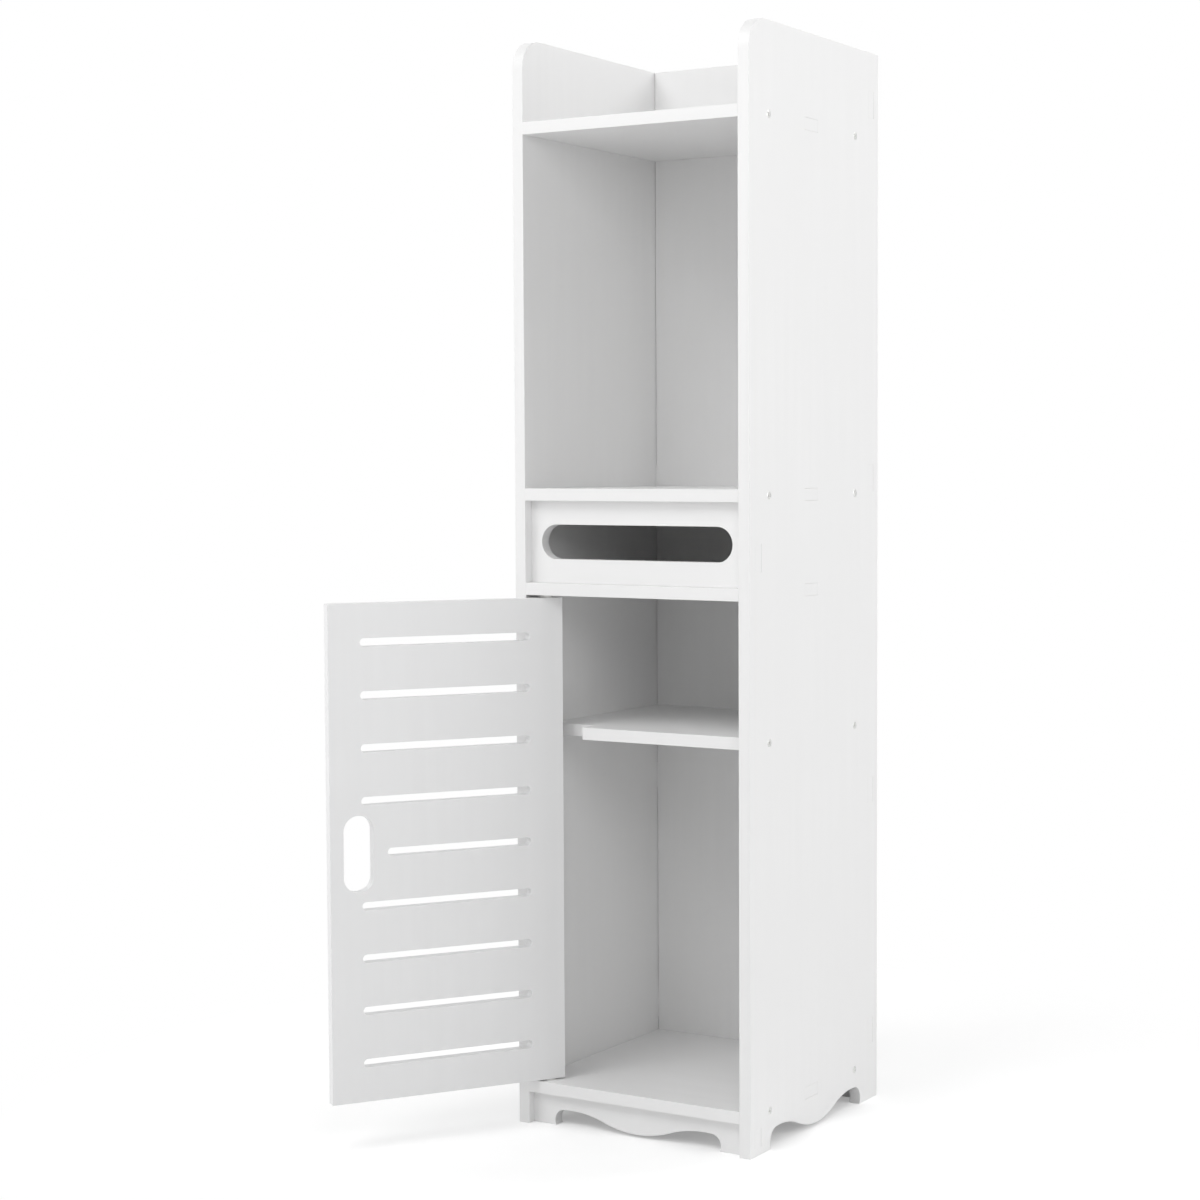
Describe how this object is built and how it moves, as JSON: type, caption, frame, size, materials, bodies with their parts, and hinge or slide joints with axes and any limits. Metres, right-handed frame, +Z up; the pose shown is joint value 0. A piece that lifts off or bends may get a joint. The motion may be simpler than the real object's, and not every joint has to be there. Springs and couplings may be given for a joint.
{
  "type": "bathroom cabinet",
  "caption": "Tall narrow white bathroom cabinet with scalloped feet, open shelves, a tissue compartment with a rounded slot and a louvred door that turns on pivot pins.",
  "frame": {"origin": "middle of the cabinet's footprint on the floor, the open door left out", "axes": "+Z up, -Y out of the front where the door is, +X to the right seen from the front"},
  "size_m": [0.4119, 0.4965, 1.2],
  "materials": {
    "white_board": "satin",
    "door_board": "satin",
    "white_nylon": "satin",
    "pin_steel": "satin",
    "screw_steel": "satin"
  },
  "bodies": {
    "cabinet": {"left_side_panel": "white_board", "right_side_panel": "white_board", "back_panel": "white_board", "top_shelf": "white_board", "middle_shelf": "white_board", "door_head_shelf": "white_board", "tissue_panel": "white_board", "inner_shelf": "white_board", "bottom_board": "white_board", "front_apron": "white_board", "upper_pivot_bush": "white_nylon", "lower_pivot_bush": "white_nylon", "top_shelf_screws": "screw_steel", "middle_shelf_screws": "screw_steel", "inner_shelf_screws": "screw_steel", "bottom_board_screws": "screw_steel"},
    "door": {"door_panel": "door_board", "upper_pivot_pin": "pin_steel", "lower_pivot_pin": "pin_steel"}
  },
  "joints": [
    {"name": "door_hinge", "type": "hinge", "parent": "cabinet", "child": "door", "pos_m": [-0.1175, -0.135, 0.051], "axis": [0, 0, 1], "range_deg": [0, 123.8]}
  ]
}
